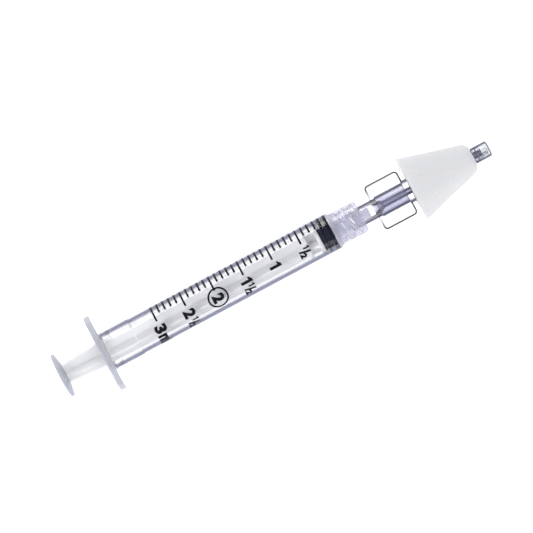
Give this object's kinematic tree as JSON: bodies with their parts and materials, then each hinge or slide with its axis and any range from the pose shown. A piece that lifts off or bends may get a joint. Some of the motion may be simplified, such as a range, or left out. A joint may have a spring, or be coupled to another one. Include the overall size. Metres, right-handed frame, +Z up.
{
  "type": "syringe with nasal atomiser",
  "caption": "Clear plastic syringe with a ribbed plunger and black stopper, fitted by a threaded luer lock with a winged nasal atomiser and soft conical nostril plug.",
  "frame": {"origin": "on the long axis at the zero line of the barrel's scale, just behind the barrel's front wall", "axes": "+X along the axis from the thumb rest to the spray tip; Y is the wide way of the finger flange and the span of the wings; +Z up"},
  "size_m": [0.1267, 0.0214, 0.018],
  "materials": {
    "clear_barrel": "gloss",
    "ink": "satin",
    "white_rod": "satin",
    "black_rubber": "satin",
    "clear_atomizer": "gloss",
    "white_foam": "matte"
  },
  "bodies": {
    "barrel": {"barrel": "clear_barrel", "scale_print": "ink"},
    "stopper": {"stopper": "black_rubber"},
    "plunger_rod": {"plunger_rod": "white_rod"},
    "nasal_plug": {"nasal_plug": "white_foam"},
    "atomizer": {"atomizer_body": "clear_atomizer", "spray_tip": "clear_atomizer", "swirl_insert": "clear_atomizer"}
  },
  "joints": [
    {"name": "plunger_slide", "type": "slide", "parent": "barrel", "child": "stopper", "axis": [-1, 0, 0], "range_m": [0, 0.0608]},
    {"name": "rod_spin", "type": "hinge", "parent": "stopper", "child": "plunger_rod", "pos_m": [-0.002, 0, 0], "axis": [1, 0, 0], "continuous": true},
    {"name": "plug_advance", "type": "slide", "parent": "barrel", "child": "nasal_plug", "axis": [1, 0, 0], "range_m": [0, 0.00375]},
    {"name": "luer_twist", "type": "hinge", "parent": "nasal_plug", "child": "atomizer", "pos_m": [0.01, 0, 0], "axis": [1, 0, 0], "range_deg": [0, 270]}
  ],
  "couplings": [
    {"joint": "luer_twist", "follows": "plug_advance", "rad_per_m": 1256.6}
  ]
}
